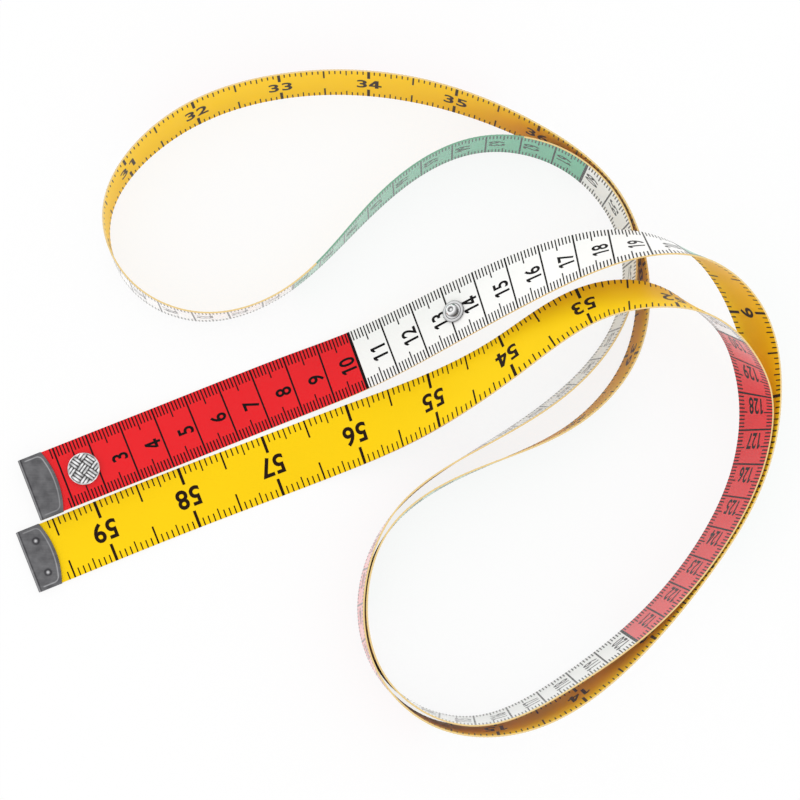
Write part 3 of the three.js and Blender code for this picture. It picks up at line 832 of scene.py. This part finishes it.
def makeClip(name, length, turned, node, body):
    # a sheet bent round the tape's end: (way along the fold, across), out and in by its thickness
    half = tape["width"] / 2 + clip["overhang"]
    outside = clip["inside"] + clip["sheet"]
    longest = clip["side"] + clip["bulge"]
    radius = (half ** 2 + clip["bulge"] ** 2) / (2 * clip["bulge"])
    y = np.linspace(half, -half, clip["across"])[None, :]
    rim = longest - radius + np.sqrt(radius ** 2 - y ** 2)
    flat = np.linspace(1, 0, clip["along"])
    turn = np.linspace(0, math.pi, clip["fold"])[1:-1]
    way = np.concatenate([flat, np.zeros(len(turn)), flat[::-1]])[:, None]
    angle = np.concatenate([np.zeros(len(flat)), turn, np.full(len(flat), math.pi)])[:, None]
    up = -np.cos(angle)  # -1 under the tape, 1 over it
    x = outside + way * (rim - outside)
    seenX = x - np.sin(angle) * outside
    plain, dented = clipRelief(seenX, y, rim, False), clipRelief(seenX, y, rim, True)
    relief, tone = (np.where(up > 0, a, b) for a, b in zip(plain, dented))
    relief = relief * ((angle == 0) | (angle == math.pi))

    def skin(reach):
        sx = x - np.sin(angle) * reach
        sz = up * reach
        return np.stack(np.broadcast_arrays(sx, y, sz), axis=-1).reshape(-1, 3)

    count = x.size
    points = np.concatenate([skin(outside + relief), skin(clip["inside"] + np.zeros_like(relief))])
    faces = np.concatenate(thickFaces(gridQuads(*x.shape), count))
    shade = np.tile(tone.ravel(), 2)
    piece = putMesh(name, placed(points, length, turned), faces, [clipMetal], shade=shade)
    sharpen(piece, degrees=50)
    soften(piece, clip["edge"], degrees=40)
    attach(piece, body)
    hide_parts(node)


makeClip("clip_zero", 0, False, "zero_end_clip", "zero_tip")
makeClip("clip_sixty", tape["length"], True, "sixty_end_clip", "sixty_tip")
print("end clips folded")


# Press stud: turned pieces from their half sections, as radius and height in millimetres

snap = {
    "facets": 96, "tone": 0.72, "merge": 1e-4,
    "face": 0.425,  # from the tape's middle to where the pieces sit
}


def closePoles(piece, distance):
    # merges points that lie together, drops faces with no area and turns the rest outwards
    closed = bmesh.new()
    closed.from_mesh(piece.data)
    bmesh.ops.remove_doubles(closed, verts=closed.verts, dist=distance * mm)
    bmesh.ops.dissolve_degenerate(closed, edges=closed.edges, dist=distance * mm / 10)
    bmesh.ops.recalc_face_normals(closed, faces=closed.faces)
    closed.to_mesh(piece.data)
    closed.free()


def turnedPiece(name, section, length, closed=True, facets=snap["facets"], relief=None, tone=None):
    # points (r cos a, r sin a, z + relief) for every a; each pole becomes one point
    turn = np.linspace(0, 2 * math.pi, facets, endpoint=False)
    x = section[:, :1] * np.cos(turn)
    y = section[:, :1] * np.sin(turn)
    z = np.repeat(section[:, 1:2], len(turn), axis=1)
    shade = np.full(z.shape, snap["tone"]) if tone is None else tone(x, y, z)
    if relief is not None:
        z = z + relief(x, y, z)
    points = placed(np.stack([x, y, z], axis=-1).reshape(-1, 3), length)
    piece = putMesh(name, points, ringQuads(*z.shape, closed), [snapMetal], shade=shade)
    closePoles(piece, snap["merge"])
    return piece


cap = {
    "radius": 4.6, "height": 1.7, "shoulder": 0.75, "lip": 1.0, "sheet": 0.35, "rings": 72, "facets": 240,
    "rim": 0.3, "rimRound": (0.1, 0.09), "innerStep": 6,
    "bar": 0.92, "cell": 3, "weave": 0.18, "turn": 0.58,  # bars of the relief
    "middle": 100.5,  # cells from the pattern's corner to the axis
    "barRound": 0.6, "archRound": 0.35, "archLow": 0.35, "plain": 0.8, "plainRim": (0.88, 0.95),
    # painted highlights in broad patches over the bars, and painted shade in the gaps between them
    "bright": 0.85, "gapShadeSpan": (0.4, 0.95), "wearAndHighlight": 0.35, "patchLightX": (1.9, 0.7), "patchLightY": (2.2, -0.4),
}


def basket(x, y):
    # cells of three bars, turned by a quarter from each cell to the next: |sin| across a bar, arched along it
    c, s = math.cos(cap["turn"]), math.sin(cap["turn"])
    u = (x * c + y * s) / cap["bar"] + cap["middle"] * cap["cell"]
    v = (y * c - x * s) / cap["bar"] + cap["middle"] * cap["cell"]
    lengthwise = (np.floor(u / cap["cell"]) + np.floor(v / cap["cell"])) % 2 < 1
    bar = np.abs(np.sin(math.pi * np.where(lengthwise, v, u)))
    arch = np.sin(math.pi * (np.where(lengthwise, u, v) / cap["cell"] % 1))
    flat = smoothStep(np.hypot(x, y) / cap["radius"], *cap["plainRim"])
    arched = cap["archLow"] + (1 - cap["archLow"]) * arch ** cap["archRound"]
    return bar ** cap["barRound"] * arched * (1 - flat) + cap["plain"] * flat


def makeCap():
    # dome: r = R sin t, z = shoulder + (height - shoulder) cos t, then the rim rolled in under it
    outside, inside, lip = cap["radius"], cap["radius"] - cap["sheet"], cap["radius"] - cap["lip"]
    t = np.linspace(0, math.pi / 2, cap["rings"])
    rise = cap["height"] - cap["shoulder"]
    outer = np.stack([outside * np.sin(t), cap["shoulder"] + rise * np.cos(t)], axis=1)
    t = t[::cap["innerStep"]]
    inner = np.stack([inside * np.sin(t), cap["shoulder"] + (rise - cap["sheet"]) * np.cos(t)], axis=1)
    rim = [(outside, cap["rim"]), (outside - cap["rimRound"][0], cap["rimRound"][1]), (inside, 0),
           (lip, 0), (lip, cap["sheet"]), (inside, cap["sheet"])]
    section = np.concatenate([outer, rim, inner[::-1]]) + [0, snap["face"]]
    onDome = (np.arange(len(section)) < len(outer))[:, None]

    def relief(x, y, z):
        return np.where(onDome, cap["weave"] * (basket(x, y) - cap["plain"]), 0)

    def tone(x, y, z):
        # painted shade where the bars sink between each other, and painted highlights in broad patches
        (stepX, startX), (stepY, startY) = cap["patchLightX"], cap["patchLightY"]
        wearAndHighlight = cap["wearAndHighlight"] * np.sin(stepX * x + startX) * np.sin(stepY * y + startY)
        shown = (cap["bright"] + wearAndHighlight) * smoothStep(basket(x, y), *cap["gapShadeSpan"])
        return np.where(onDome, shown, snap["tone"])

    return turnedPiece("snapCap", section, tape["capPlace"], closed=False, facets=cap["facets"],
                       relief=relief, tone=tone)


def rounded(section, radius, steps, most=0.45):
    # each corner of a closed half section becomes a small curve, corner + back (1 - t)^2 + on t^2, which
    # takes up no more than a share of each edge
    before = np.roll(section, 1, axis=0) - section
    after = np.roll(section, -1, axis=0) - section
    back = unit(before) * np.minimum(radius, np.linalg.norm(before, axis=1) * most)[:, None]
    on = unit(after) * np.minimum(radius, np.linalg.norm(after, axis=1) * most)[:, None]
    t = np.linspace(0, 1, steps + 1)[None, :, None]
    curve = section[:, None] + back[:, None] * (1 - t) ** 2 + on[:, None] * t ** 2
    return curve.reshape(-1, 2)


def seated(shape):
    # the half section of a piece, set on the tape, with its corners rounded
    return rounded(np.array(shape["section"]) + [0, shape["seat"]], shape["round"], shape["steps"])


def dress(piece, node, body, degrees=50):
    sharpen(piece, degrees)
    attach(piece, body)
    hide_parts(node)


dress(makeCap(), "snap_cap_shell", "zero_tip", degrees=70)

capPost = {
    "section": [(1.1, 0.9), (1.1, -1.75), (2.25, -1.75), (2.25, -1.4), (1.5, -1.4), (1.5, 0.55), (4.05, 0.55),
                (4.05, 0.9)],
    "seat": snap["face"], "round": 0.1, "steps": 3,
}
dress(turnedPiece("snapCapPost", seated(capPost), tape["capPlace"]), "snap_cap_post", "zero_tip")

socket = {
    "section": [(1.7, 0), (1.7, -0.35), (4.05, -0.35), (4.05, -2.35), (2.2, -2.35), (2.2, -2.7),
                (4.4, -2.7), (4.4, 0)],
    "seat": -snap["face"], "round": 0.22, "steps": 4,
}
dress(turnedPiece("snapSocket", seated(socket), tape["capPlace"]), "snap_socket", "zero_tip")

stud = {
    "bore": (0, 1.4), "crown": (0, 1.75), "seat": snap["face"], "round": 0.14, "steps": 4,
    "section": [(0.95, 1.4), (0.95, 0), (3.25, 0), (3.25, 0.35), (2.45, 0.36), (2.2, 0.42), (1.35, 0.55),
                (1.35, 0.85), (1.85, 1.3), (1.85, 1.65), (1.35, 2.1), (0.8, 2.1), (0.55, 1.75)],
    "neck": 1.1,  # height that parts the ball from the flange
    # painted highlight and painted shade of the ball and flange
    "bright": 1.1, "ballShade": 0.9, "flangeShade": 0.95, "belt": (1.15, 1.85), "dimple": 0.72, "ring": 2.35,
    "ringWidth": 0.2, "rim": (2.95, 3.22), "root": (1.7, 2.1),
}


def studTone(x, y, z):
    # painted shade: the ball darker at its belt and round the dimple; the flange darker in a ring round its
    # raised middle, at its rim and under the ball
    r = np.hypot(x, y)
    belt, rim, root = (smoothStep(r, *stud[place]) for place in ("belt", "rim", "root"))
    dimple, ring = (ridge(r - stud[place], stud["ringWidth"]) for place in ("dimple", "ring"))
    ball = stud["bright"] - stud["ballShade"] * (belt + dimple)
    flange = stud["bright"] - stud["flangeShade"] * (ring + rim) - stud["ballShade"] * (1 - root)
    return np.where(z > stud["neck"] + stud["seat"], ball, flange)


ends = np.array([stud["bore"], stud["crown"]]) + [0, stud["seat"]]
section = np.concatenate([ends[:1], seated(stud), ends[1:]])
piece = turnedPiece("snapStud", section, tape["studPlace"], closed=False, tone=studTone)
dress(piece, "snap_stud", "loops")

studPost = {
    "section": [(0.45, 1.625), (0.45, -0.775), (3.25, -0.775), (3.25, -0.425), (0.75, -0.425), (0.75, 1.625)],
    "seat": 0, "round": 0.1, "steps": 3,
}
dress(turnedPiece("snapStudPost", seated(studPost), tape["studPlace"]), "snap_stud_post", "loops")

spring = {
    "wire": 0.5, "span": 1.6, "leg": 3.8, "facets": 16, "legSteps": 13, "bendPoints": 25,
    "height": -1.9,  # of the wire's middle
    "tip": 1e-4, "merge": 1e-3,  # each end closes to a point
}


def makeSpring():
    # hairpin wire: two legs and a half circle, with a ring of points carried along it
    middle = (spring["leg"] - spring["span"]) / 2
    leg = np.linspace(0, 1, spring["legSteps"], endpoint=False)[:, None]
    turn = np.linspace(0, math.pi, spring["bendPoints"])
    first = np.array([middle - spring["leg"], spring["span"]]) + leg * [spring["leg"], 0]
    bend = np.stack([middle + spring["span"] * np.sin(turn), spring["span"] * np.cos(turn)], axis=1)
    path = np.concatenate([first, bend, (first * [1, -1])[::-1]])
    along = unit(np.gradient(path, axis=0))
    ring = np.linspace(0, 2 * math.pi, spring["facets"], endpoint=False)
    swell = np.full(len(path) + 2, spring["wire"] / 2)
    swell[[0, -1]] = spring["tip"]
    path = np.concatenate([path[:1], path, path[-1:]])
    along = np.concatenate([along[:1], along, along[-1:]])
    side = np.stack([along[:, 1], -along[:, 0]], axis=1)
    flat = path[:, None] + side[:, None] * (swell[:, None] * np.cos(ring))[..., None]
    z = spring["height"] - snap["face"] + swell[:, None] * np.sin(ring)
    points = placed(np.concatenate([flat, z[..., None]], axis=-1).reshape(-1, 3), tape["capPlace"])
    faces = ringQuads(*z.shape, closed=False)
    wire = putMesh("snapSpring", points, faces, [snapMetal], shade=np.full(z.shape, snap["tone"]))
    closePoles(wire, spring["merge"])
    return wire


dress(makeSpring(), "snap_socket_spring", "zero_tip", degrees=60)
print("press stud turned")
